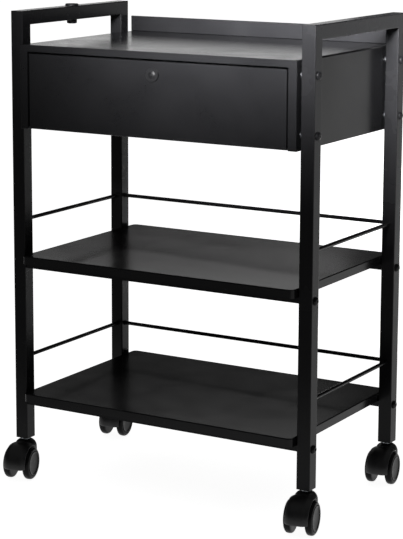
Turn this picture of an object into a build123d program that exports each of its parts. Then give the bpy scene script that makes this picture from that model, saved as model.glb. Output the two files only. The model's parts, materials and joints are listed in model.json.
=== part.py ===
"""Three-tier steel trolley: two trays with wire guard rails, a lockable drawer, swivel castors.

Millimetres. +X right, +Y back, +Z up. The origin is on the floor, under the middle of the
trolley's whole footprint.
"""
import os
from math import cos, radians, sin

from build123d import *

os.makedirs("parts", exist_ok=True)

# ---- Overall sizes ----------------------------------------------------------------------
frame_width = 600.0       # over the outer faces of the posts, along X
frame_depth = 342.0       # over the outer faces of the posts, along Y
frame_height = 846.0      # floor to the top of the top rails
castor_height = 72.0      # floor to the lower end of the posts

# ---- Frame tube -------------------------------------------------------------------------
tube = 25.0               # square tube, across the flats
tube_wall = 1.5
tube_corner = 1.8         # outer corner radius of the tube

# ---- Sheet metal ------------------------------------------------------------------------
sheet = 1.0               # thickness of the trays, the cabinet and the drawer box
side_gap = 2.5            # between a post's inner face and a tray or the cabinet

# ---- Trays ------------------------------------------------------------------------------
middle_tray_drop = 432.7  # frame top to the middle tray's top face
lower_tray_drop = 684.7   # frame top to the lower tray's top face
tray_overhang = 15.0      # how far a tray stands out past the posts, front and back
tray_lip = 15.0           # height of the turned-down edge
tray_return = 12.0        # width of the flange turned in under the lip
tray_corner = 10.0        # corner radius in plan
tray_edge = 1.8           # bend radius along the top edge

# ---- Crossbars under the trays ----------------------------------------------------------
bar_height = 10.0
bar_depth = 20.0
bar_wall = 1.2
bar_end_block = 16.0      # length of the solid threaded block in each end

# ---- Wire guard rails -------------------------------------------------------------------
wire_diameter = 7.0
wire_rise = 60.0          # tray top to the wire's centre line
wire_depth_in_post = 6.0  # how far the back wire reaches into a post
weld_radius = 5.0         # weld collar round a wire's end
weld_length = 1.5

# ---- Bolts ------------------------------------------------------------------------------
bolt_radius = 3.0
bolt_hole_clearance = 0.15
bolt_head_radius = 7.3
bolt_head_height = 4.2
bolt_head_rim = 0.9       # straight part of the head beside the post
bolt_flat_radius = 2.9    # flat round the key socket
bolt_in_bar = 12.0        # how far a bolt reaches into a crossbar
hex_key = 4.0
hex_depth = 2.2

# ---- Cabinet ----------------------------------------------------------------------------
cabinet_drop = 57.0       # frame top to the cabinet's top face
cabinet_height = 148.0
cabinet_overhang = 11.0   # how far the cabinet stands out past the posts, front and back
cabinet_bolt_inset = 25.0 # bolt axes, from the cabinet's top and bottom
rim_top = 12.0            # width of the front rim above the drawer
rim_side = 15.0           # width of the front rim beside the drawer
rim_return = 13.0         # depth of the flange turned back round the drawer opening
cabinet_edge = 3.0        # outer edge radius
splash_drop = 28.5        # frame top to the backsplash's top edge
splash_wall = 1.2
splash_flange = 6.0
splash_edge = 1.8
spacer_radius = 7.0
nut_height = 5.0
nut_across = 10.0

# ---- Drawer -----------------------------------------------------------------------------
drawer_gap = 3.3          # between the drawer front and the rim
drawer_bottom_gap = 1.0   # cabinet's lower edge to the drawer front's lower edge
front_thickness = 16.0    # depth of the folded drawer front
front_wall = 1.2
front_edge = 1.8
front_return = 18.0       # width of the flange turned in behind the drawer front
box_length = 328.0
box_under_lock = 13.0     # lock's axis to the drawer box's top edge
box_floor_rise = 12.0     # drawer front's lower edge to the drawer box's underside
drawer_travel = 270.0

# ---- Runners ----------------------------------------------------------------------------
slide_length = 318.0
slide_setback = 4.0       # drawer front's back to the runners' front ends
slide_height = 35.0
slide_width = 13.0        # bracket face to drawer box
slide_wall = 1.2
slide_play = 0.7          # between one member's flange and the next
bracket_height = 42.0
bracket_wall = 1.2
bracket_clear = 0.5       # bracket face inside the rim's opening

# ---- Lock -------------------------------------------------------------------------------
lock_drop = 23.0          # drawer front's top edge to the lock's axis
lock_ring_radius = 12.2
lock_ring_height = 3.0
lock_barrel_radius = 9.0
lock_barrel_length = 19.0
lock_plug_radius = 7.0
lock_plug_dome = 1.8      # how far the plug's dome stands out of the ring
lock_fit = 0.05           # running clearance round the plug
key_slot_width = 1.4
key_slot_height = 8.0
key_slot_depth = 12.0
cam_gap = 1.0
cam_thickness = 2.0
cam_width = 12.0
cam_length = 31.0
lock_nut_height = 4.0
lock_nut_across = 24.0

# ---- Lamp socket ------------------------------------------------------------------------
socket_bore = 12.8
socket_wall = 1.2
socket_flange_radius = 12.0
socket_flange_height = 3.5
socket_nut_radius = 9.2
socket_nut_height = 6.5
socket_tail = 1.0         # tube left showing under the nut
socket_clearance = 0.1

# ---- Castors ----------------------------------------------------------------------------
wheel_radius = 29.0
wheel_width = 13.0
wheel_round = 5.5         # tread's shoulder radius
wheel_hub_radius = 8.0
wheel_hub_reach = 6.6     # hub, from the tread inwards to the web
wheel_cap_radius = 22.0
wheel_dish = 1.2          # step between the wheel's rim and its cap
castor_trail = 21.0       # stem axis to axle axis
web_thickness = 10.4
wheel_gap = 0.8           # between a wheel and the hood's web
hood_gap = 6.0            # between the tread and the middle of the hood
hood_wall = 2.0
hood_width = 41.0
hood_crown = 14.0         # width of the level part of the hood's section
hood_edge_drop = 5.0      # how far the section comes down at the hood's sides
hood_front_angle = 8.0    # how far the hood goes below the axle's level at the front
hood_back_angle = 42.0    # where it ends above the axle's level at the back
hood_top_gap = 0.4        # hood to stem collar
hood_neck_radius = 9.5
hood_dome_radius = 20.4   # dome under the stem, as wide as the hood
hood_dome_foot = 12.0     # axle's level to the lower edge of the dome
hood_dome_wall = 2.4
hood_boss_radius = 8.0    # round the stem's pivot, inside the dome
axle_radius = 3.0
axle_fit = 0.05           # running clearance of a wheel on the axle
axle_end_gap = 0.5
stem_radius = 5.0
stem_pivot_radius = 4.0
stem_pivot_length = 9.0
stem_collar_radius = 7.9
stem_collar_height = 3.2
stem_length = 32.0
stem_fit = 0.05           # running clearance of the hood on the stem
stem_floor = 0.4
socket_plug_clearance = 0.2
castor_turn = {"fl": 12.4, "fr": 9.8, "bl": 8.0, "br": 6.0}  # how far each stands turned

# ---- Places that follow from the sizes --------------------------------------------------
post_x = frame_width / 2 - tube / 2
reach_front = frame_depth / 2 - tube / 2 + castor_trail + wheel_radius + hood_gap + hood_wall
reach_back = frame_depth / 2 + tray_overhang
frame_y = (reach_front - reach_back) / 2          # middle of the frame along Y
post_front_y = frame_y - (frame_depth / 2 - tube / 2)
post_back_y = frame_y + (frame_depth / 2 - tube / 2)
posts = {
    "front_post_left": (-post_x, post_front_y),
    "front_post_right": (post_x, post_front_y),
    "back_post_left": (-post_x, post_back_y),
    "back_post_right": (post_x, post_back_y),
}
inner_half = frame_width / 2 - tube - side_gap     # half width of the trays and the cabinet
tray_tops = {
    "middle": frame_height - middle_tray_drop,
    "lower": frame_height - lower_tray_drop,
}
wire_z = {"upper": tray_tops["middle"] + wire_rise, "lower": tray_tops["lower"] + wire_rise}
bar_z = {level: top - tray_lip - bar_height / 2 for level, top in tray_tops.items()}
cabinet_top = frame_height - cabinet_drop
cabinet_bottom = cabinet_top - cabinet_height
cabinet_front = frame_y - frame_depth / 2 - cabinet_overhang
cabinet_rear = frame_y + frame_depth / 2 + cabinet_overhang
cabinet_bolt_z = (cabinet_top - cabinet_bolt_inset, cabinet_bottom + cabinet_bolt_inset)
bolt_hole = bolt_radius + bolt_hole_clearance
opening_half = inner_half - rim_side
opening_top = cabinet_top - rim_top
front_half = opening_half - drawer_gap
front_top = opening_top - drawer_gap
front_bottom = cabinet_bottom + drawer_bottom_gap
front_back = cabinet_front + front_thickness
bracket_face = opening_half - bracket_clear
box_half = bracket_face - slide_width
box_bottom = front_bottom + box_floor_rise
lock_z = front_top - lock_drop
box_height = lock_z - box_under_lock - box_bottom
slide_z = box_bottom + box_height / 2
slide_front = front_back + slide_setback

wire_radius = wire_diameter / 2
finished = []


def facing_front(y):
    """Upright plane at y, seen from the front: its x is +X and its y is +Z."""
    return Plane(origin=(0, y, 0), x_dir=(1, 0, 0), z_dir=(0, -1, 0))


def finish(piece, label):
    """Label a finished piece and write it to its own file."""
    piece.part.label = label
    export_step(piece.part, f"parts/{label}.step")
    finished.append(label)


# ==== Frame ==============================================================================
def mitre_plane(x, y, towards_y):
    """Plane of the mitre between a post at y and a top rail that runs towards towards_y."""
    return Plane(origin=(x, y, frame_height - tube / 2), x_dir=(1, 0, 0), z_dir=(0, towards_y, 1))


for label, (x, y) in posts.items():
    towards = 1 if y < frame_y else -1
    with BuildPart() as post:
        with BuildSketch(Plane.XY.offset(castor_height)):
            with Locations((x, y)):
                RectangleRounded(tube, tube, tube_corner)
                bore = tube - 2 * tube_wall
                Rectangle(bore, bore, mode=Mode.SUBTRACT)
        extrude(amount=frame_height - castor_height)
        split(bisect_by=mitre_plane(x, y, towards), keep=Keep.BOTTOM)
        for z in (*cabinet_bolt_z, *bar_z.values()):
            with BuildSketch(Plane(origin=(x, y, z), z_dir=(1, 0, 0))):
                Circle(bolt_hole)
            extrude(amount=tube, both=True, mode=Mode.SUBTRACT)
        if y > frame_y:
            inward = -1 if x > 0 else 1
            for z in wire_z.values():
                with BuildSketch(Plane(origin=(x, y, z), z_dir=(inward, 0, 0))):
                    Circle(wire_radius)
                extrude(amount=tube, mode=Mode.SUBTRACT)
    finish(post, label)

socket_outer = socket_bore / 2 + socket_wall
for side, x in (("left", -post_x), ("right", post_x)):
    with BuildPart() as rail:
        start = post_front_y - tube / 2
        with BuildSketch(facing_front(start)):
            with Locations((x, frame_height - tube / 2)):
                RectangleRounded(tube, tube, tube_corner)
                Rectangle(tube - 2 * tube_wall, tube - 2 * tube_wall, mode=Mode.SUBTRACT)
        extrude(amount=-frame_depth)
        split(bisect_by=mitre_plane(x, post_front_y, 1), keep=Keep.TOP)
        split(bisect_by=mitre_plane(x, post_back_y, -1), keep=Keep.TOP)
        if side == "left":
            with BuildSketch(Plane.XY.offset(frame_height - tube - 1)):
                with Locations((x, frame_y)):
                    Circle(socket_outer + socket_clearance)
            extrude(amount=tube + 2, mode=Mode.SUBTRACT)
    finish(rail, f"top_rail_{side}")

# ==== Wire guard rails ===================================================================
for level, z in wire_z.items():
    for side, x in (("left", -post_x), ("right", post_x)):
        with BuildPart() as wire:
            clear = post_back_y - post_front_y - tube
            start = post_front_y + tube / 2
            with BuildSketch(facing_front(start)):
                with Locations((x, z)):
                    Circle(wire_radius)
            extrude(amount=-clear)
            for end in (start, start + clear - weld_length):
                with BuildSketch(facing_front(end)):
                    with Locations((x, z)):
                        Circle(weld_radius)
                extrude(amount=-weld_length)
        finish(wire, f"{level}_wire_{side}")
    with BuildPart() as wire:
        half = frame_width / 2 - tube
        with BuildSketch(Plane(origin=(0, post_back_y, z), z_dir=(1, 0, 0))):
            Circle(wire_radius)
        extrude(amount=half + wire_depth_in_post, both=True)
        for end in (-half, half - weld_length):
            with BuildSketch(Plane(origin=(end, post_back_y, z), z_dir=(1, 0, 0))):
                Circle(weld_radius)
            extrude(amount=weld_length)
    finish(wire, f"{level}_wire_back")

# ==== Trays and crossbars ================================================================
for level, top in tray_tops.items():
    width = 2 * inner_half
    depth = frame_depth + 2 * tray_overhang
    with BuildPart() as tray:
        with BuildSketch(Plane.XY.offset(top - tray_lip)):
            with Locations((0, frame_y)):
                RectangleRounded(width, depth, tray_corner)
        extrude(amount=tray_lip)
        fillet(tray.faces().sort_by(Axis.Z)[-1].edges(), tray_edge)
        with BuildSketch(Plane.XY.offset(top - tray_lip + sheet)):
            with Locations((0, frame_y)):
                RectangleRounded(width - 2 * sheet, depth - 2 * sheet, tray_corner - sheet)
        extrude(amount=tray_lip - 2 * sheet, mode=Mode.SUBTRACT)
        with BuildSketch(Plane.XY.offset(top - tray_lip)):
            with Locations((0, frame_y)):
                Rectangle(width - 2 * tray_return, depth - 2 * tray_return)
        extrude(amount=sheet, mode=Mode.SUBTRACT)
    finish(tray, f"{level}_shelf")

    for place, y in (("front", post_front_y), ("back", post_back_y)):
        half = frame_width / 2 - tube
        with BuildPart() as bar:
            across = Plane(origin=(-half, y, bar_z[level]), x_dir=(0, 1, 0), z_dir=(1, 0, 0))
            with BuildSketch(across):
                Rectangle(bar_depth, bar_height)
            extrude(amount=2 * half)
            with BuildSketch(across.offset(bar_end_block)):
                Rectangle(bar_depth - 2 * bar_wall, bar_height - 2 * bar_wall)
            extrude(amount=2 * half - 2 * bar_end_block, mode=Mode.SUBTRACT)
            for end in (across, across.offset(2 * half - bar_end_block)):
                with BuildSketch(end):
                    Circle(bolt_hole)
                extrude(amount=bar_end_block, mode=Mode.SUBTRACT)
        finish(bar, f"crossbar_{level}_{place}")

# ==== Cabinet ============================================================================
cabinet_depth = cabinet_rear - cabinet_front
with BuildPart() as shell:
    with BuildSketch(Plane.XY.offset(cabinet_bottom)):
        with Locations((0, frame_y)):
            Rectangle(2 * inner_half, cabinet_depth)
    extrude(amount=cabinet_height)
    long_edges = shell.edges().filter_by(Axis.Y)
    fillet(long_edges.group_by(Axis.Z)[-1], cabinet_edge)
    fillet(shell.faces().sort_by(Axis.Y)[0].edges(), sheet * 0.9)
    with BuildSketch(facing_front(cabinet_front + sheet)):
        with Locations((0, (cabinet_bottom + cabinet_top) / 2)):
            inside = Rectangle(2 * inner_half - 2 * sheet, cabinet_height - 2 * sheet)
            fillet(inside.vertices(), cabinet_edge - sheet)
    extrude(amount=-cabinet_depth, mode=Mode.SUBTRACT)
    opening_middle = (cabinet_bottom + opening_top) / 2
    with BuildSketch(facing_front(cabinet_front)):
        with Locations((0, opening_middle)):
            Rectangle(2 * opening_half, opening_top - cabinet_bottom)
    extrude(amount=-(front_thickness + 2), mode=Mode.SUBTRACT)
    with BuildSketch(facing_front(cabinet_front + sheet / 2)):
        with Locations((0, opening_middle + sheet)):
            Rectangle(2 * opening_half + 2 * sheet, opening_top - cabinet_bottom)
        with Locations((0, opening_middle)):
            Rectangle(2 * opening_half, opening_top - cabinet_bottom, mode=Mode.SUBTRACT)
    extrude(amount=-rim_return)
    for x in (-inner_half, inner_half):
        for y in (post_front_y, post_back_y):
            for z in cabinet_bolt_z:
                with BuildSketch(Plane(origin=(x, y, z), z_dir=(1, 0, 0))):
                    Circle(bolt_hole)
                extrude(amount=2 * sheet, both=True, mode=Mode.SUBTRACT)
finish(shell, "cabinet_shell")

with BuildPart() as rear:
    with BuildSketch(facing_front(cabinet_rear)):
        with Locations((0, (cabinet_bottom + cabinet_top) / 2)):
            panel = Rectangle(2 * inner_half - 2 * sheet, cabinet_height - 2 * sheet)
            fillet(panel.vertices(), cabinet_edge - sheet)
    extrude(amount=sheet)
finish(rear, "cabinet_back")

with BuildPart() as splash:
    splash_height = cabinet_drop - splash_drop
    centre = (0, cabinet_rear - splash_flange / 2, cabinet_top + splash_height / 2)
    side_plane = Plane(origin=centre, x_dir=(0, 1, 0), z_dir=(1, 0, 0))
    with BuildSketch(side_plane):
        Rectangle(splash_flange, splash_height)
    extrude(amount=inner_half, both=True)
    fillet(splash.faces().sort_by(Axis.Y)[0].edges(), splash_edge)
    with BuildSketch(side_plane):
        with Locations((splash_wall / 2, 0)):
            Rectangle(splash_flange - splash_wall, splash_height - 2 * splash_wall)
    extrude(amount=inner_half - splash_wall, both=True, mode=Mode.SUBTRACT)
finish(splash, "backsplash")

with BuildPart() as fixings:
    for side in (-1, 1):
        for y in (post_front_y, post_back_y):
            for z in cabinet_bolt_z:
                face = Plane(origin=(side * inner_half, y, z), z_dir=(side, 0, 0))
                with BuildSketch(face):
                    Circle(spacer_radius)
                    Circle(bolt_hole, mode=Mode.SUBTRACT)
                extrude(amount=side_gap)
                with BuildSketch(face.offset(-sheet)):
                    RegularPolygon(nut_across / 2, 6, major_radius=False)
                    Circle(bolt_hole, mode=Mode.SUBTRACT)
                extrude(amount=-nut_height)
finish(fixings, "cabinet_fixings")

# ==== Bolts ==============================================================================
def make_bolt(length):
    """Button-head bolt with a hexagon socket: the shank goes down from the origin."""
    with BuildPart() as bolt:
        with BuildSketch(Plane.XZ):
            with BuildLine():
                rim = Polyline(
                    (0, -length),
                    (bolt_radius, -length),
                    (bolt_radius, 0),
                    (bolt_head_radius, 0),
                    (bolt_head_radius, bolt_head_rim),
                )
                dome = ThreePointArc(
                    rim @ 1,
                    ((bolt_head_radius + bolt_flat_radius) * 0.56, bolt_head_height * 0.79),
                    (bolt_flat_radius, bolt_head_height),
                )
                Polyline(dome @ 1, (0, bolt_head_height), rim @ 0)
            make_face()
        revolve(axis=Axis.Z)
        with BuildSketch(Plane.XY.offset(bolt_head_height)):
            RegularPolygon(hex_key / 2, 6, major_radius=False)
        extrude(amount=-hex_depth, mode=Mode.SUBTRACT)
    return bolt.part


cabinet_bolt = make_bolt(tube + side_gap + sheet + nut_height)
bar_bolt = make_bolt(tube + bolt_in_bar)
with BuildPart() as bolts:
    for side in (-1, 1):
        for y in (post_front_y, post_back_y):
            for heights, bolt in ((cabinet_bolt_z, cabinet_bolt), (bar_z.values(), bar_bolt)):
                for z in heights:
                    with Locations(Location((side * frame_width / 2, y, z), (0, side * 90, 0))):
                        add(bolt)
finish(bolts, "frame_bolts")

# ==== Lamp socket ========================================================================
with BuildPart() as lamp_socket:
    tail = frame_height - tube - socket_nut_height - socket_tail
    with BuildSketch(Plane.XY.offset(tail)):
        with Locations((-post_x, frame_y)):
            Circle(socket_outer)
    extrude(amount=frame_height - tail)
    with BuildSketch(Plane.XY.offset(frame_height)):
        with Locations((-post_x, frame_y)):
            Circle(socket_flange_radius)
    extrude(amount=socket_flange_height)
    chamfer(lamp_socket.faces().sort_by(Axis.Z)[-1].edges(), 0.8)
    with BuildSketch(Plane.XY.offset(tail)):
        with Locations((-post_x, frame_y)):
            Circle(socket_bore / 2)
    extrude(amount=frame_height - tail + socket_flange_height, mode=Mode.SUBTRACT)
finish(lamp_socket, "lamp_socket")

with BuildPart() as lamp_nut:
    with BuildSketch(Plane.XY.offset(frame_height - tube - socket_nut_height)):
        with Locations((-post_x, frame_y)):
            Circle(socket_nut_radius)
            Circle(socket_outer + socket_clearance, mode=Mode.SUBTRACT)
    extrude(amount=socket_nut_height)
finish(lamp_nut, "lamp_socket_nut")

# ==== Drawer =============================================================================
with BuildPart() as drawer_front:
    middle_z = (front_top + front_bottom) / 2
    tall = front_top - front_bottom
    with BuildSketch(facing_front(cabinet_front)):
        with Locations((0, middle_z)):
            Rectangle(2 * front_half, tall)
    extrude(amount=-front_thickness)
    fillet(drawer_front.faces().sort_by(Axis.Y)[0].edges(), front_edge)
    with BuildSketch(facing_front(cabinet_front + front_wall)):
        with Locations((0, middle_z)):
            Rectangle(2 * front_half - 2 * front_wall, tall - 2 * front_wall)
    extrude(amount=-(front_thickness - 2 * front_wall), mode=Mode.SUBTRACT)
    with BuildSketch(facing_front(front_back - front_wall)):
        with Locations((0, middle_z)):
            Rectangle(2 * front_half - 2 * front_return, tall - 2 * front_return)
        with Locations((0, lock_z)):
            Circle(lock_nut_across / 2 + 2)
    extrude(amount=-front_wall, mode=Mode.SUBTRACT)
    with BuildSketch(facing_front(cabinet_front)):
        with Locations((0, lock_z)):
            Circle(lock_barrel_radius + 0.1)
    extrude(amount=-front_wall, mode=Mode.SUBTRACT)
finish(drawer_front, "drawer_front")

with BuildPart() as drawer_box:
    with BuildSketch(Plane.XY.offset(box_bottom)):
        with Locations((0, front_back + box_length / 2)):
            Rectangle(2 * box_half, box_length)
    extrude(amount=box_height)
    fillet(drawer_box.faces().sort_by(Axis.Z)[0].edges(), sheet * 0.9)
    with BuildSketch(Plane.XY.offset(box_bottom + sheet)):
        with Locations((0, front_back + box_length / 2)):
            Rectangle(2 * box_half - 2 * sheet, box_length - 2 * sheet)
    extrude(amount=box_height, mode=Mode.SUBTRACT)
finish(drawer_box, "drawer_box")


def channel(near, far, height, wall, web_at):
    """Channel section between two distances from the middle plane, with its web at one of them."""
    inside_near = near + wall if web_at == near else near
    inside_far = far if web_at == near else far - wall
    with BuildSketch() as section:
        with Locations(((near + far) / 2, 0)):
            Rectangle(far - near, height)
        with Locations(((inside_near + inside_far) / 2, 0)):
            Rectangle(inside_far - inside_near, height - 2 * wall, mode=Mode.SUBTRACT)
    return section.sketch


def slide_plane(side):
    """Plane across the runners of one side: its x points away from the middle plane."""
    return Plane(origin=(0, slide_front, slide_z), x_dir=(side, 0, 0), z_dir=(0, 1, 0))


with BuildPart() as brackets:
    for side in (-1, 1):
        with BuildSketch(slide_plane(side)):
            far = inner_half - sheet
            add(channel(bracket_face, far, bracket_height, bracket_wall, bracket_face))
        extrude(amount=slide_length)
finish(brackets, "slide_brackets")

middle_half_height = slide_height / 2 - slide_wall - slide_play
inner_half_height = middle_half_height - slide_wall - slide_play
member_step = slide_wall + slide_play
members = {
    # name: (near, far, height, web at)
    "outer": (box_half + member_step, bracket_face, slide_height, bracket_face),
    "middle": (
        box_half + member_step,
        bracket_face - member_step,
        2 * middle_half_height,
        bracket_face - member_step,
    ),
    "inner": (box_half, bracket_face - 2 * member_step - slide_play, 2 * inner_half_height, box_half),
}
for member, (near, far, height, web_at) in members.items():
    for side, sign in (("left", -1), ("right", 1)):
        with BuildPart() as slide:
            with BuildSketch(slide_plane(sign)):
                add(channel(near, far, height, slide_wall, web_at))
            extrude(amount=slide_length)
        finish(slide, f"slide_{member}_{side}")

# ==== Lock ===============================================================================
lock_plane = Plane(origin=(0, cabinet_front, lock_z), x_dir=(1, 0, 0), z_dir=(0, -1, 0))
with BuildPart() as lock_body:
    with BuildSketch(lock_plane):
        Circle(lock_ring_radius)
    extrude(amount=lock_ring_height)
    chamfer(lock_body.faces().sort_by(Axis.Y)[0].edges(), 1.0)
    with BuildSketch(lock_plane):
        Circle(lock_barrel_radius)
    extrude(amount=-lock_barrel_length)
    with BuildSketch(lock_plane.offset(lock_ring_height)):
        Circle(lock_plug_radius + lock_fit)
    extrude(amount=-(lock_ring_height + lock_barrel_length), mode=Mode.SUBTRACT)
finish(lock_body, "lock_body")

with BuildPart() as lock_nut:
    with BuildSketch(lock_plane.offset(-front_wall)):
        RegularPolygon(lock_nut_across / 2, 6, major_radius=False)
        Circle(lock_barrel_radius + 0.1, mode=Mode.SUBTRACT)
    extrude(amount=-lock_nut_height)
finish(lock_nut, "lock_nut")

with BuildPart() as lock_plug:
    plug_tip = lock_ring_height + lock_plug_dome
    with BuildSketch(Plane(origin=lock_plane.origin, x_dir=(1, 0, 0), z_dir=(0, 0, 1))):
        with BuildLine():
            side_line = Polyline(
                (0, lock_barrel_length + cam_gap),
                (lock_plug_radius, lock_barrel_length + cam_gap),
                (lock_plug_radius, -lock_ring_height),
            )
            dome = ThreePointArc(
                side_line @ 1,
                (lock_plug_radius * 0.6, -lock_ring_height - lock_plug_dome * 0.72),
                (0, -plug_tip),
            )
            Line(dome @ 1, side_line @ 0)
        make_face()
    revolve(axis=Axis(lock_plane.origin, (0, 1, 0)))
    with BuildSketch(lock_plane.offset(plug_tip)):
        Rectangle(key_slot_width, key_slot_height)
    extrude(amount=-key_slot_depth, mode=Mode.SUBTRACT)
finish(lock_plug, "lock_plug")

with BuildPart() as lock_cam:
    with BuildSketch(lock_plane.offset(-(lock_barrel_length + cam_gap))):
        with Locations((cam_length / 2 - cam_width / 4, 0)):
            Rectangle(cam_length - cam_width / 2, cam_width)
        Circle(cam_width / 2)
    extrude(amount=-cam_thickness)
finish(lock_cam, "lock_cam")

# ==== Castors ============================================================================
with BuildPart() as plugs:
    for x, y in posts.values():
        with BuildSketch(Plane.XY.offset(castor_height)):
            with Locations((x, y)):
                plug_side = tube - 2 * tube_wall - 2 * socket_plug_clearance
                Rectangle(plug_side, plug_side)
                Circle(stem_radius + 0.1, mode=Mode.SUBTRACT)
        extrude(amount=stem_length)
finish(plugs, "stem_sockets")

collar_bottom = castor_height - stem_collar_height
hood_inner = wheel_radius + hood_gap
hood_outer = hood_inner + hood_wall
hood_top = collar_bottom - hood_top_gap
half_span = web_thickness / 2 + wheel_gap + wheel_hub_reach + wheel_width


def dome_section(radius, neck_radius, top):
    """Half section of a dome that stands on the hood's level and rounds over to the neck."""
    foot = wheel_radius + hood_dome_foot
    with BuildSketch() as half:
        with BuildLine():
            Polyline((neck_radius, top), (0, top), (0, foot), (radius, foot), (radius, top - 0.75 * radius))
            Spline(
                (radius, top - 0.75 * radius), (0.85 * radius, top - 0.27 * radius), (neck_radius, top),
                tangents=((0, 1), (-1, 0.12)),
            )
        make_face()
    return half.sketch


def make_castor(tag, x, y, turn):
    """Twin-wheel castor under the post at (x, y), standing turned by turn degrees."""
    a = radians(turn)
    along_axle = Vector(cos(a), sin(a), 0)
    backwards = Vector(-sin(a), cos(a), 0)
    stem_foot = Vector(x, y, 0)
    axle_centre = stem_foot - backwards * castor_trail + Vector(0, 0, wheel_radius)
    stem_plane = Plane(origin=stem_foot, x_dir=along_axle, z_dir=(0, 0, 1))
    side_plane = Plane(origin=axle_centre, x_dir=backwards, z_dir=along_axle)
    axle_axis = Axis(axle_centre, along_axle)

    with BuildPart() as stem:
        with BuildSketch(stem_plane.offset(collar_bottom)):
            Circle(stem_collar_radius)
        extrude(amount=stem_collar_height)
        with BuildSketch(stem_plane.offset(castor_height)):
            Circle(stem_radius)
        extrude(amount=stem_length)
        with BuildSketch(stem_plane.offset(collar_bottom)):
            Circle(stem_pivot_radius)
        extrude(amount=-stem_pivot_length)
    finish(stem, f"castor_{tag}_stem")

    with BuildPart() as hood:
        # Web between the wheels, from a little under the axle's level up to the fender.
        with BuildSketch(side_plane):
            Circle(hood_inner + hood_wall / 2)
            with Locations((0, -axle_radius - 5 - hood_outer)):
                Rectangle(3 * hood_outer, 2 * hood_outer, mode=Mode.SUBTRACT)
            with Locations((2 * hood_outer, hood_outer)):
                Rectangle(hood_outer, 4 * hood_outer, mode=Mode.SUBTRACT)
        extrude(amount=web_thickness / 2, both=True)
        # Fender: a domed band swept round the axle, from the back over the top to the front.
        back = radians(hood_back_angle)
        outwards = backwards * cos(back) + Vector(0, 0, 1) * sin(back)
        section = Plane(origin=axle_centre, x_dir=along_axle, z_dir=along_axle.cross(outwards))
        flat = hood_crown / 2
        edge = hood_width / 2
        bend = (flat + edge) / 2 + 1.2
        with BuildSketch(section):
            with BuildLine():
                Line((-flat, hood_outer), (flat, hood_outer))
                ThreePointArc(
                    (flat, hood_outer),
                    (bend, hood_outer - hood_edge_drop * 0.3),
                    (edge, hood_outer - hood_edge_drop),
                )
                Line((edge, hood_outer - hood_edge_drop), (edge, hood_inner - hood_edge_drop))
                ThreePointArc(
                    (edge, hood_inner - hood_edge_drop),
                    (bend, hood_inner - hood_edge_drop * 0.3),
                    (flat, hood_inner),
                )
                Line((flat, hood_inner), (-flat, hood_inner))
                ThreePointArc(
                    (-flat, hood_inner),
                    (-bend, hood_inner - hood_edge_drop * 0.3),
                    (-edge, hood_inner - hood_edge_drop),
                )
                Line((-edge, hood_inner - hood_edge_drop), (-edge, hood_outer - hood_edge_drop))
                ThreePointArc(
                    (-edge, hood_outer - hood_edge_drop),
                    (-bend, hood_outer - hood_edge_drop * 0.3),
                    (-flat, hood_outer),
                )
            make_face()
        revolve(axis=axle_axis, revolution_arc=180 + hood_front_angle - hood_back_angle)
        # Dome round the stem, hollow beside the web and open underneath for the wheels.
        with BuildSketch(Plane(origin=stem_foot, x_dir=along_axle, z_dir=-backwards)):
            add(dome_section(hood_dome_radius, hood_neck_radius, hood_top))
        revolve(axis=Axis(stem_foot, (0, 0, 1)))
        with BuildPart(mode=Mode.PRIVATE) as hollow:
            with BuildSketch(Plane(origin=stem_foot, x_dir=along_axle, z_dir=-backwards)):
                inner = hood_dome_radius - hood_dome_wall
                add(dome_section(inner, hood_neck_radius - hood_dome_wall / 2, hood_top - 2 * hood_dome_wall))
            revolve(axis=Axis(stem_foot, (0, 0, 1)))
            with BuildSketch(side_plane):
                Rectangle(8 * hood_outer, 8 * hood_outer)
            extrude(amount=web_thickness / 2, both=True, mode=Mode.SUBTRACT)
            with BuildSketch(stem_plane):
                Circle(hood_boss_radius)
            extrude(amount=castor_height, mode=Mode.SUBTRACT)
        add(hollow.part, mode=Mode.SUBTRACT)
        for side in (-1, 1):
            with BuildSketch(side_plane.offset(side * web_thickness / 2)):
                Circle(hood_inner - hood_edge_drop)
            extrude(amount=side * hood_width, mode=Mode.SUBTRACT)
        # Pivot bore and axle hole.
        with BuildSketch(stem_plane.offset(hood_top)):
            Circle(stem_pivot_radius + stem_fit)
        extrude(amount=-(stem_pivot_length - hood_top_gap + stem_floor), mode=Mode.SUBTRACT)
        with BuildSketch(side_plane):
            Circle(axle_radius)
        extrude(amount=web_thickness, both=True, mode=Mode.SUBTRACT)
    finish(hood, f"castor_{tag}_hood")

    with BuildPart() as axle:
        with BuildSketch(side_plane):
            Circle(axle_radius)
        extrude(amount=half_span - 3 - axle_end_gap, both=True)
    finish(axle, f"castor_{tag}_axle")

    for side, sign in (("left", -1), ("right", 1)):
        hub = web_thickness / 2 + wheel_gap
        near = hub + wheel_hub_reach
        far = near + wheel_width
        with BuildPart() as wheel:
            profile_plane = Plane(origin=axle_centre, x_dir=along_axle * sign, z_dir=backwards * -sign)
            with BuildSketch(profile_plane):
                with BuildLine():
                    Polyline(
                        (hub, 0),
                        (hub, wheel_hub_radius),
                        (near, wheel_hub_radius),
                        (near, wheel_radius - wheel_round),
                        (near + wheel_round * 0.35, wheel_radius - wheel_round * 0.3),
                        (near + wheel_round, wheel_radius),
                        (far - wheel_round, wheel_radius),
                        (far - wheel_round * 0.3, wheel_radius - wheel_round * 0.3),
                        (far, wheel_cap_radius + wheel_dish),
                        (far - wheel_dish, wheel_cap_radius),
                        (far, wheel_cap_radius - wheel_dish),
                        (far, 0),
                        close=True,
                    )
                make_face()
            revolve(axis=axle_axis)
            with BuildSketch(side_plane.offset(sign * hub)):
                Circle(axle_radius + axle_fit)
            extrude(amount=sign * (far - hub - 3), mode=Mode.SUBTRACT)
        finish(wheel, f"castor_{tag}_wheel_{side}")


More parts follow.
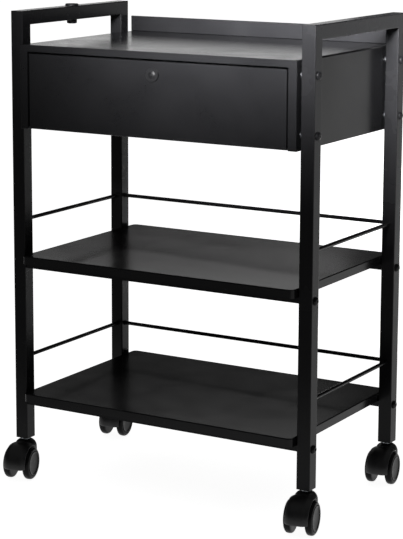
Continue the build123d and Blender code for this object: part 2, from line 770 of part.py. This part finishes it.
for tag, turn in castor_turn.items():
    castor_x = -post_x if tag[1] == "l" else post_x
    castor_y = post_front_y if tag[0] == "f" else post_back_y
    make_castor(tag, castor_x, castor_y, turn)

print(len(finished), "pieces written")
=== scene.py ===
import json
from math import pi, radians

import bmesh
import bpy
import numpy as np
from mathutils import Euler, Matrix, Vector


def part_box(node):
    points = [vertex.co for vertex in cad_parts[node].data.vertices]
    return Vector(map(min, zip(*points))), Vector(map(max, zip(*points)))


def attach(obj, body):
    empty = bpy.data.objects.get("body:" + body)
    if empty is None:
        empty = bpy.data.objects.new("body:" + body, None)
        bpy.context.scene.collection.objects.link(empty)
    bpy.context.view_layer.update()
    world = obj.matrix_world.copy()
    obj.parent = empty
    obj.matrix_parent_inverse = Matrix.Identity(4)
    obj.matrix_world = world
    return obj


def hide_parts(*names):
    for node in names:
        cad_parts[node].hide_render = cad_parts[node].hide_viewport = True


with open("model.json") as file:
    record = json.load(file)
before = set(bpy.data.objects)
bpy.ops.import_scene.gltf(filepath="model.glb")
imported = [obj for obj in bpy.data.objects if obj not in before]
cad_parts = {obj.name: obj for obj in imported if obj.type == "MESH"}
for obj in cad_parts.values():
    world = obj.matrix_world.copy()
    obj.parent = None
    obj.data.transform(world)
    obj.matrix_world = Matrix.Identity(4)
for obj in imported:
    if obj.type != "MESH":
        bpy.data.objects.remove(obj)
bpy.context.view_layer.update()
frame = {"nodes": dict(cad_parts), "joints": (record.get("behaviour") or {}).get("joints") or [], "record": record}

record = frame["record"]
nodes = frame["nodes"]
joints = {j["name"]: j for j in frame["joints"]}
scene = bpy.context.scene
MM = 0.001


# ---- Colour and node helpers ---------------------------------------------------------------
def srgb(code):
    """Linear RGBA from an sRGB hex string such as "1b1b1d"."""
    c = np.array([int(code[i:i + 2], 16) for i in (0, 2, 4)]) / 255
    linear = np.where(c <= 0.04045, c / 12.92, ((c + 0.055) / 1.055) ** 2.4)
    return (*(float(v) for v in linear), 1.0)


def put(tree, kind, inputs=None, **settings):
    """Adds a node. settings are its properties; an input is a value, or a socket to link from."""
    made = tree.nodes.new(kind)
    for key, value in settings.items():
        setattr(made, key, value)
    for key, value in (inputs or {}).items():
        if isinstance(value, bpy.types.NodeSocket):
            tree.links.new(value, made.inputs[key])
        else:
            made.inputs[key].default_value = value
    return made


def ramp(tree, factor, stops):
    """A colour ramp with its stops given as (position, sRGB hex)."""
    made = put(tree, "ShaderNodeValToRGB", {"Fac": factor})
    elements = made.color_ramp.elements
    while len(elements) < len(stops):
        elements.new(0.5)
    for element, (position, code) in zip(elements, stops):
        element.position = position
        element.color = srgb(code)
    return made.outputs["Color"]


def around(tree, factor, middle, swing):
    """A value that swings about middle as a noise factor goes from 0.3 to 0.7."""
    limits = {"From Min": 0.3, "From Max": 0.7, "To Min": middle - swing, "To Max": middle + swing}
    return put(tree, "ShaderNodeMapRange", {"Value": factor, **limits}).outputs["Result"]


def blank(name):
    """A new material with an empty node tree: the material, its tree and its output node."""
    material = bpy.data.materials.new(name)
    material.use_nodes = True
    tree = material.node_tree
    tree.nodes.clear()
    return material, tree, put(tree, "ShaderNodeOutputMaterial")


def per_metre(size_mm):
    """Noise scale for features of about that size, since one noise cell is one unit wide."""
    return 1 / (size_mm * MM)


# ---- Materials -----------------------------------------------------------------------------
def powder_coat(name, body, lifted, roughness, level, peel_mm, peel_height):
    """Black polyester powder coat, sprayed and baked. It flows out with a faint orange peel, so
    broad reflections break up a little, and the film is a touch duller where it is thicker. Real
    peel is 1 to 2 mm from crest to crest; it is drawn coarser so that it shows."""
    material, tree, out = blank(name)
    where = put(tree, "ShaderNodeTexCoord").outputs["Object"]
    cloud = put(
        tree, "ShaderNodeTexNoise",
        {"Vector": where, "Scale": per_metre(70), "Detail": 3.0, "Roughness": 0.55},
    ).outputs["Fac"]
    grain = put(
        tree, "ShaderNodeTexNoise",
        {"Vector": where, "Scale": per_metre(1.6), "Detail": 2.0, "Roughness": 0.6},
    ).outputs["Fac"]
    peel = put(
        tree, "ShaderNodeTexNoise",
        {"Vector": where, "Scale": per_metre(peel_mm), "Detail": 2.0, "Roughness": 0.45},
    ).outputs["Fac"]
    mixed = put(tree, "ShaderNodeMath", {0: cloud, 1: grain}, operation="MULTIPLY").outputs[0]
    fine = put(tree, "ShaderNodeBump", {"Height": grain, "Strength": 0.12, "Distance": 0.05 * MM})
    broad = put(
        tree, "ShaderNodeBump",
        {"Height": peel, "Strength": 0.6, "Distance": peel_height * MM, "Normal": fine.outputs["Normal"]},
    )
    shader = put(
        tree, "ShaderNodeBsdfPrincipled",
        {
            "Base Color": ramp(tree, mixed, ((0.12, body), (0.42, lifted))),
            "Roughness": around(tree, cloud, roughness, 0.035),
            "Normal": broad.outputs["Normal"],
            "IOR": 1.5,
            "Specular IOR Level": level,
        },
    )
    tree.links.new(shader.outputs[0], out.inputs["Surface"])
    return material


def moulded_nylon(name, body, lifted, roughness, grain_mm, grain_height, level):
    """Black glass-filled nylon, injection moulded. The tool's spark-eroded grain gives a close
    pebble, and the gloss is a little uneven where the melt cooled against the steel."""
    material, tree, out = blank(name)
    where = put(tree, "ShaderNodeTexCoord").outputs["Object"]
    pebble = put(
        tree, "ShaderNodeTexVoronoi", {"Vector": where, "Scale": per_metre(grain_mm)}, feature="SMOOTH_F1"
    ).outputs["Distance"]
    flow = put(
        tree, "ShaderNodeTexNoise", {"Vector": where, "Scale": per_metre(14), "Detail": 3.0}
    ).outputs["Fac"]
    bump = put(tree, "ShaderNodeBump", {"Height": pebble, "Strength": 0.5, "Distance": grain_height * MM})
    shader = put(
        tree, "ShaderNodeBsdfPrincipled",
        {
            "Base Color": ramp(tree, flow, ((0.3, body), (0.72, lifted))),
            "Roughness": around(tree, flow, roughness, 0.05),
            "Normal": bump.outputs["Normal"],
            "IOR": 1.53,
            "Specular IOR Level": level,
        },
    )
    tree.links.new(shader.outputs[0], out.inputs["Surface"])
    return material


def plated_steel(name, body, lifted, roughness, streak_mm):
    """Zinc-plated, cold-rolled steel. Rolling leaves fine lines along the strip, and the blue
    passivation gives a faint cloudiness."""
    material, tree, out = blank(name)
    where = put(tree, "ShaderNodeTexCoord").outputs["Object"]
    stretched = put(tree, "ShaderNodeMapping", {"Vector": where, "Scale": (1.0, 0.06, 1.0)}).outputs[0]
    streak = put(
        tree, "ShaderNodeTexNoise", {"Vector": stretched, "Scale": per_metre(streak_mm), "Detail": 2.0}
    ).outputs["Fac"]
    cloud = put(
        tree, "ShaderNodeTexNoise", {"Vector": where, "Scale": per_metre(18), "Detail": 4.0}
    ).outputs["Fac"]
    bump = put(tree, "ShaderNodeBump", {"Height": streak, "Strength": 0.25, "Distance": 0.04 * MM})
    shader = put(
        tree, "ShaderNodeBsdfPrincipled",
        {
            "Base Color": ramp(tree, cloud, ((0.3, body), (0.7, lifted))),
            "Metallic": 1.0,
            "Roughness": around(tree, streak, roughness, 0.08),
            "Normal": bump.outputs["Normal"],
        },
    )
    tree.links.new(shader.outputs[0], out.inputs["Surface"])
    return material


def black_oxide(name, body, lifted, roughness, level):
    """Blackened steel under a film of oil: darker and smoother than paint, with a faint mottle."""
    material, tree, out = blank(name)
    where = put(tree, "ShaderNodeTexCoord").outputs["Object"]
    mottle = put(
        tree, "ShaderNodeTexNoise", {"Vector": where, "Scale": per_metre(2.5), "Detail": 4.0}
    ).outputs["Fac"]
    bump = put(tree, "ShaderNodeBump", {"Height": mottle, "Strength": 0.15, "Distance": 0.05 * MM})
    shader = put(
        tree, "ShaderNodeBsdfPrincipled",
        {
            "Base Color": ramp(tree, mottle, ((0.35, body), (0.65, lifted))),
            "Roughness": around(tree, mottle, roughness, 0.06),
            "Normal": bump.outputs["Normal"],
            "IOR": 1.5,
            "Specular IOR Level": level,
        },
    )
    tree.links.new(shader.outputs[0], out.inputs["Surface"])
    return material


finishes = {
    "frame_powder_coat": powder_coat(
        "satin_black_powder_coat_tube", "0a0a0b", "0f0f10", 0.26, 0.09, peel_mm=7, peel_height=0.03
    ),
    "sheet_powder_coat": powder_coat(
        "satin_black_powder_coat_sheet", "0b0b0c", "0f0f10", 0.21, 0.12, peel_mm=9, peel_height=0.03
    ),
    "bolt_black": black_oxide("black_oxide_steel", "060607", "0a0a0b", 0.30, 0.10),
    "lock_black": black_oxide("black_chromate_zinc_alloy", "070708", "0c0c0d", 0.46, 0.10),
    "zinc_steel": plated_steel("zinc_plated_steel", "7d8084", "9ea2a6", 0.34, streak_mm=0.8),
    "castor_nylon": moulded_nylon(
        "satin_black_nylon", "121213", "1b1b1c", 0.42, grain_mm=1.1, grain_height=0.03, level=0.25
    ),
    "wheel_nylon": moulded_nylon(
        "semi_gloss_black_nylon", "080808", "0d0d0e", 0.30, grain_mm=2.4, grain_height=0.012, level=0.06
    ),
}
slot_of = {s["node"]: s["material_slot"] for s in record["subparts"]}
for name, node in nodes.items():
    for slot in node.material_slots:
        slot.material = finishes[slot_of[name]]


# ---- Surfaces ------------------------------------------------------------------------------
def mesh_piece(name, points, quads, finish, body, replaces=(), sharp=35, caps=()):
    """A named object on its CAD body, from points in metres, quads, and caps of many sides."""
    mesh = bpy.data.meshes.new(name)
    mesh.from_pydata(points.tolist(), [], [*quads.tolist(), *caps])
    work = bmesh.new()
    work.from_mesh(mesh)
    bmesh.ops.remove_doubles(work, verts=work.verts, dist=1e-6)
    bmesh.ops.recalc_face_normals(work, faces=work.faces)
    work.to_mesh(mesh)
    work.free()
    mesh.polygons.foreach_set("use_smooth", np.ones(len(mesh.polygons), bool))
    mesh.set_sharp_from_angle(angle=radians(sharp))
    mesh.materials.append(finishes[finish])
    made = bpy.data.objects.new(name, mesh)
    scene.collection.objects.link(made)
    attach(made, body)
    if replaces:
        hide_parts(*replaces)
    return made


def grid_faces(rows, columns, wrap_rows=False, wrap_columns=False):
    """Quads of a rows by columns grid, numbered row by row; a wrapped side joins to its start."""
    r = np.arange(rows if wrap_rows else rows - 1)
    c = np.arange(columns if wrap_columns else columns - 1)
    r, c = (v.ravel() for v in np.meshgrid(r, c, indexing="ij"))
    below, beside = (r + 1) % rows, (c + 1) % columns
    corners = [r * columns + c, r * columns + beside, below * columns + beside, below * columns + c]
    return np.stack(corners, axis=1)


def smooth_through(points, per_span):
    """Catmull-Rom curve through the points: on each span, p(t) = half of (2 b + (c - a) t
    + (2 a - 5 b + 4 c - d) t^2 + (3 b - a - 3 c + d) t^3), with a, b, c, d four points in turn."""
    p = np.asarray(points, float)
    p = np.vstack([2 * p[0] - p[1], p, 2 * p[-1] - p[-2]])
    t = np.linspace(0, 1, per_span, endpoint=False)[None, :, None]
    a, b, c, d = (p[k:len(p) - 3 + k, None, :] for k in range(4))
    square, cube = 2 * a - 5 * b + 4 * c - d, 3 * b - a - 3 * c + d
    curve = 0.5 * (2 * b + (c - a) * t + square * t**2 + cube * t**3)
    return np.vstack([curve.reshape(-1, p.shape[1]), p[-2]])


def turned(profile, origin, axis, start, steps):
    """Surface of revolution: a profile of (along, radius) in mm, turned about axis through
    origin. A point is origin + along * axis + radius * (cos v * start + sin v * axis x start)."""
    along, radius = (profile[:, k, None, None] * MM for k in (0, 1))
    v = np.linspace(0, 2 * pi, steps, endpoint=False)[None, :, None]
    outwards = np.cos(v) * start + np.sin(v) * np.cross(axis, start)
    points = origin + along * axis + radius * outwards
    return points.reshape(-1, 3), grid_faces(len(profile), steps, wrap_columns=True)


# ---- Castors -------------------------------------------------------------------------------
# Along the axle, from the castor's middle, in mm.
HUB_FACE = 6.0            # inner end of a wheel's hub
TREAD_INNER = 12.6
TREAD_OUTER = 25.6
WEB_HALF = 5.2            # half of the web between the wheels
HOOD_EDGE = 20.4          # half of the hood's width
HOOD_CROWN = 7.0          # half of the level part of its section
# About the axle, in mm.
HOOD_OUTER = 37.0         # outer radius along the crown
HOOD_DROP = 5.0           # how much smaller it is at the sides
HOOD_WALL = 2.0
WHEEL_CLEAR = 30.4        # the dome's wall stays outside this radius
BOSS_RADIUS = 9.0         # end of the web, round the axle
# Above the floor, in mm.
DOME_TOP = 68.3
DOME_FOOT = 41.0
# About the stem, in mm.
DOME_RADIUS = 20.3
DOME_EDGE = 20.0          # where the height of the lower edge is worked out
DOME_WALL = 2.2
STEM_CLEAR = 4.2          # radius of the dome's bore for the stem

UP = np.array([0.0, 0.0, 1.0])


def castor_frame(tag):
    """Axle centre, axle direction, direction backwards to the stem, the stem's place, and trail."""
    spin = joints[f"wheel_{tag}_left_spin"]
    centre = np.array(spin["pos_m"])
    axle = np.array(spin["axis"]) / np.linalg.norm(spin["axis"])
    backwards = np.cross(UP, axle)
    swivel = np.array(joints[f"castor_{tag}_swivel"]["pos_m"])
    return centre, axle, backwards, swivel, float(np.dot(swivel - centre, backwards)) / MM


def wheel_radius(tag):
    """Half of the height of the castor's left wheel, in mm."""
    low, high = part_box(f"castor_{tag}_wheel_left")
    return (high[2] - low[2]) / 2 / MM


def wheels(tag):
    """Both wheels: hub, tread with rounded shoulders, a groove, then a dished cover."""
    centre, axle, *_ = castor_frame(tag)
    rim, near, far = wheel_radius(tag), TREAD_INNER, TREAD_OUTER
    hub = [(HUB_FACE, 0.0), (HUB_FACE, 8.0), (near - 1.0, 8.2), (near, 9.2)]
    tread = smooth_through(
        [
            (near, rim - 7.0), (near + 0.1, rim - 4.2), (near + 0.8, rim - 1.7), (near + 2.4, rim - 0.4),
            (near + 5.2, rim), (far - 5.4, rim), (far - 2.9, rim - 0.7), (far - 1.0, rim - 2.9),
            (far - 0.3, rim - 5.4),
        ],
        per_span=7,
    )
    groove = [(far - 0.5, rim - 6.0), (far - 2.4, rim - 6.4), (far - 2.4, rim - 7.0), (far - 0.4, rim - 7.3)]
    cover = smooth_through(
        [
            (far - 0.05, rim - 7.7), (far, rim - 8.4), (far - 0.3, rim - 9.4), (far - 1.2, rim - 11.6),
            (far - 1.7, rim - 17.0), (far - 1.9, rim - 23.0), (far - 1.9, 0.0),
        ],
        per_span=6,
    )
    profile = np.vstack([hub, tread, groove, cover])
    for side, sign in (("left", -1), ("right", 1)):
        points, quads = turned(profile, centre, axle * sign, UP, steps=96)
        mesh_piece(
            f"castor_{tag}_{side}_wheel_moulding", points, quads, "wheel_nylon", f"wheel_{tag}_{side}",
            (f"castor_{tag}_wheel_{side}",), sharp=40,
        )


def hood_section():
    """Closed loop of the hood's wall and its core line, both as (along the axle, radius) in mm.
    The wall's middle is at the crown's radius less HOOD_DROP * past^2.2, past being 0 at the end
    of the level part and 1 at the edge. The two sides are half circles."""
    half_wall = HOOD_WALL / 2
    lateral = np.linspace(-1, 1, 41) * (HOOD_EDGE - half_wall)
    past = np.clip((np.abs(lateral) - HOOD_CROWN) / (HOOD_EDGE - HOOD_CROWN), 0, None)
    middle = HOOD_OUTER - half_wall - HOOD_DROP * past**2.2
    slope = np.gradient(middle, lateral)
    normal = np.stack([-slope, np.ones_like(slope)], axis=1) / np.hypot(slope, 1)[:, None]
    tangent = np.stack([normal[:, 1], -normal[:, 0]], axis=1)
    line = np.stack([lateral, middle], axis=1)
    turn = np.linspace(0, pi, 9)[1:-1, None]
    right_end = line[-1] + half_wall * (np.cos(turn) * normal[-1] + np.sin(turn) * tangent[-1])
    left_end = line[0] - half_wall * (np.cos(turn) * normal[0] + np.sin(turn) * tangent[0])
    outer, inner = line + normal * half_wall, (line - normal * half_wall)[::-1]
    loop = np.vstack([outer, right_end, inner, left_end])
    ends = np.repeat(line[-1:], len(turn), 0), np.repeat(line[:1], len(turn), 0)
    return loop, np.vstack([line, ends[0], line[::-1], ends[1]])


def hood_shell(tag):
    """The hood's band: its section swept round the axle from low at the front to high at the
    back. Near both ends the wall closes as sqrt(1 - (1 - s)^2), s going from 0 to 1."""
    centre, axle, backwards, *_ = castor_frame(tag)
    loop, core = hood_section()
    theta = np.linspace(radians(187.5), radians(42.5), 49)[:, None, None]
    step = np.arange(len(theta))
    from_end = np.minimum(step, step[::-1]) / 1.6
    thick = np.sqrt(1 - (1 - np.clip(from_end, 0, 1)) ** 2)[:, None, None]
    section = core + (loop - core) * thick
    outwards = np.cos(theta) * backwards + np.sin(theta) * UP
    points = centre + MM * (section[..., :1] * axle + section[..., 1:] * outwards)
    quads = grid_faces(len(theta), len(loop), wrap_columns=True)
    mesh_piece(
        f"castor_{tag}_hood_shell", points.reshape(-1, 3), quads, "castor_nylon", f"castor_{tag}",
        (f"castor_{tag}_hood",), sharp=60,
    )


def hood_dome(tag):
    """Dome round the stem, whose radius at a height comes from the profile. At each angle v the
    wall runs from the neck down to its lower edge, which clears the wheels: the edge is at axle
    height + sqrt(clear^2 - x^2), x being the wall's distance behind the axle, or at the foot."""
    centre, axle, backwards, swivel, trail = castor_frame(tag)
    profile = smooth_through(
        [
            (DOME_FOOT, DOME_RADIUS), (DOME_TOP - 15.3, DOME_RADIUS), (DOME_TOP - 10.0, 19.4),
            (DOME_TOP - 5.6, 17.2), (DOME_TOP - 2.6, 14.2), (DOME_TOP, 9.3),
        ],
        per_span=8,
    )
    v = np.linspace(0, 2 * pi, 64, endpoint=False)
    behind = trail + DOME_EDGE * np.cos(v)
    over_wheel = wheel_radius(tag) + np.sqrt(np.clip(WHEEL_CLEAR**2 - behind**2, 0, None))
    lower_edge = np.maximum(DOME_FOOT, over_wheel)
    share = np.linspace(0, 1, 28)[:, None] ** 1.4
    height = DOME_TOP - share * (DOME_TOP - lower_edge)
    radius = np.interp(height, profile[:, 0], profile[:, 1])
    inner_radius = np.maximum(radius - DOME_WALL, STEM_CLEAR)[::-1]
    inner_height = np.minimum(height, DOME_TOP - DOME_WALL)[::-1]
    rim = np.ones((1, len(v)))
    heights = np.vstack([rim * DOME_TOP, height, inner_height, rim * (DOME_TOP - DOME_WALL)])
    radii = np.vstack([rim * STEM_CLEAR, radius, inner_radius, rim * STEM_CLEAR])
    outwards = np.cos(v)[:, None] * backwards + np.sin(v)[:, None] * axle
    points = swivel * (1, 1, 0) + MM * (heights[..., None] * UP + radii[..., None] * outwards)
    quads = grid_faces(len(heights), len(v), wrap_rows=True, wrap_columns=True)
    mesh_piece(
        f"castor_{tag}_hood_dome", points.reshape(-1, 3), quads, "castor_nylon", f"castor_{tag}", sharp=50
    )


def hood_web(tag):
    """Plate between the wheels: an arc under the hood, closed by an arc round the axle."""
    centre, axle, backwards, *_ = castor_frame(tag)
    under_hood = np.linspace(radians(178), radians(-12), 40)
    under_axle = np.linspace(radians(-30), radians(-150), 12)
    angle = np.concatenate([under_hood, under_axle])[:, None]
    radii = [HOOD_OUTER - HOOD_WALL - 0.2, BOSS_RADIUS]
    reach = np.repeat(radii, [len(under_hood), len(under_axle)])[:, None]
    outline = reach * (np.cos(angle) * backwards + np.sin(angle) * UP)
    points = centre + MM * np.vstack([outline - WEB_HALF * axle, outline + WEB_HALF * axle])
    ring = np.arange(len(angle))
    mesh_piece(
        f"castor_{tag}_hood_web", points, grid_faces(2, len(ring), wrap_columns=True), "castor_nylon",
        f"castor_{tag}", sharp=30, caps=(ring[::-1].tolist(), (ring + len(ring)).tolist()),
    )


for tag in ("fl", "fr", "bl", "br"):
    wheels(tag)
    hood_shell(tag)
    hood_dome(tag)
    hood_web(tag)


# ---- Floor ---------------------------------------------------------------------------------
# Direction in which the floor's painted glow fades out.
TOWARDS_FRONT_LEFT = (-0.51, -0.86, 0.0)


def glowing_floor():
    """White matt floor with a faint unevenness, which glows though it is no lamp: painted light that washes out
    the cart's shadow on it. The glow fades out in front of the cart over half a metre, so that the front faces
    mirror a darker floor there."""
    material, tree, out = blank("pale_glowing_floor")
    where = put(tree, "ShaderNodeTexCoord").outputs["Object"]
    cloud = put(tree, "ShaderNodeTexNoise", {"Vector": where, "Scale": 1.3, "Detail": 2.0}).outputs["Fac"]
    ahead = put(tree, "ShaderNodeVectorMath", {0: where, 1: TOWARDS_FRONT_LEFT}, operation="DOT_PRODUCT")
    # Painted light: the floor's emission, strong round and under the cart, fading towards the front left.
    glow = put(
        tree, "ShaderNodeMapRange",
        {"Value": ahead.outputs["Value"], "From Min": 0.45, "From Max": 0.95, "To Min": 0.95, "To Max": 0.14},
        interpolation_type="SMOOTHSTEP",
    )
    shader = put(
        tree, "ShaderNodeBsdfPrincipled",
        {
            "Base Color": ramp(tree, cloud, ((0.3, "f0f0ef"), (0.7, "f3f3f2"))),
            "Roughness": 0.9,
            "Specular IOR Level": 0.1,
            "Emission Color": (1.0, 1.0, 1.0, 1.0),
            "Emission Strength": glow.outputs["Result"],
        },
    )
    tree.links.new(shader.outputs[0], out.inputs["Surface"])
    return material


def studio_floor(half_side):
    """A square floor at height 0, reaching half_side metres to each side of the origin."""
    corners = [(-half_side, -half_side, 0), (half_side, -half_side, 0), (half_side, half_side, 0)]
    mesh = bpy.data.meshes.new("studio_floor")
    mesh.from_pydata([*corners, (-half_side, half_side, 0)], [], [(0, 1, 2, 3)])
    mesh.materials.append(glowing_floor())
    floor = bpy.data.objects.new("studio_floor", mesh)
    scene.collection.objects.link(floor)


studio_floor(45.0)


# ---- Light ---------------------------------------------------------------------------------
def studio_surround():
    """A dim surround, a little brighter near the horizon and behind the cart to the right."""
    world = bpy.data.worlds.new("studio_surround")
    scene.world = world
    world.use_nodes = True
    tree = world.node_tree
    tree.nodes.clear()
    direction = put(tree, "ShaderNodeTexCoord").outputs["Generated"]
    towards = put(tree, "ShaderNodeVectorMath", {0: direction, 1: (0.62, 0.78, 0.0)}, operation="DOT_PRODUCT")
    side = put(
        tree, "ShaderNodeMapRange",
        {"Value": towards.outputs["Value"], "From Min": -0.35, "From Max": 0.4, "To Min": 0.3, "To Max": 1.0},
        interpolation_type="SMOOTHSTEP",
    )
    height = put(tree, "ShaderNodeSeparateXYZ", {0: direction}).outputs["Z"]
    band = put(
        tree, "ShaderNodeMapRange",
        {"Value": height, "From Min": 0.08, "From Max": 0.36, "To Min": 0.06, "To Max": 0.04},
        interpolation_type="SMOOTHSTEP",
    )
    share = put(tree, "ShaderNodeMath", {0: side.outputs[0], 1: band.outputs[0]}, operation="MULTIPLY")
    white = (1.0, 1.0, 1.0, 1.0)
    background = put(tree, "ShaderNodeBackground", {"Color": white, "Strength": share.outputs[0]})
    put(tree, "ShaderNodeOutputWorld", {"Surface": background.outputs[0]})


def softbox(name, place, target, width, height, watts, spread=180):
    """A rectangular area light at place, facing target. A grid narrows its spread, in degrees."""
    light = bpy.data.lights.new(name, "AREA")
    light.shape = "RECTANGLE"
    light.size, light.size_y = width, height
    light.energy = watts
    light.spread = radians(spread)
    made = bpy.data.objects.new(name, light)
    made.location = place
    made.rotation_euler = (Vector(target) - Vector(place)).to_track_quat("-Z", "Y").to_euler()
    made.visible_camera = False
    scene.collection.objects.link(made)


studio_surround()
softbox("ceiling_softbox", (0, 0, 12), (0, 0.001, 0), 26, 26, 500)
# Lights the front's upper right, from above on the drawer's side.
softbox("gridded_softbox", (0.5, -1.3, 1.35), (0.32, -0.17, 1.08), 0.8, 0.4, 62, spread=30)
# Stands close behind, so that the cabinet's top mirrors it and the lower trays hardly do.
softbox("rear_softbox", (-1.15, 1.5, 1.1), (0, 0, 0.82), 1.3, 0.4, 1.8)


# ---- Camera --------------------------------------------------------------------------------
camera = bpy.data.objects.new("camera", bpy.data.cameras.new("camera"))
scene.collection.objects.link(camera)
scene.camera = camera
camera.data.sensor_fit = "AUTO"
camera.data.sensor_width = 36
camera.data.lens = 125.9
camera.data.shift_y = -0.12894
camera.data.clip_end = 200
frame_middle = (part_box("front_post_left")[0][1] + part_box("back_post_left")[1][1]) / 2
camera.location = (1.671, -2.852 + frame_middle, 1.076)
level_aim = Euler((radians(90 - 9.69), 0, radians(30.53)), "XYZ").to_matrix()
camera.rotation_euler = (level_aim @ Matrix.Rotation(radians(0.24), 3, "Z")).to_euler()

scene.view_settings.view_transform = "Standard"
scene.view_settings.look = "None"
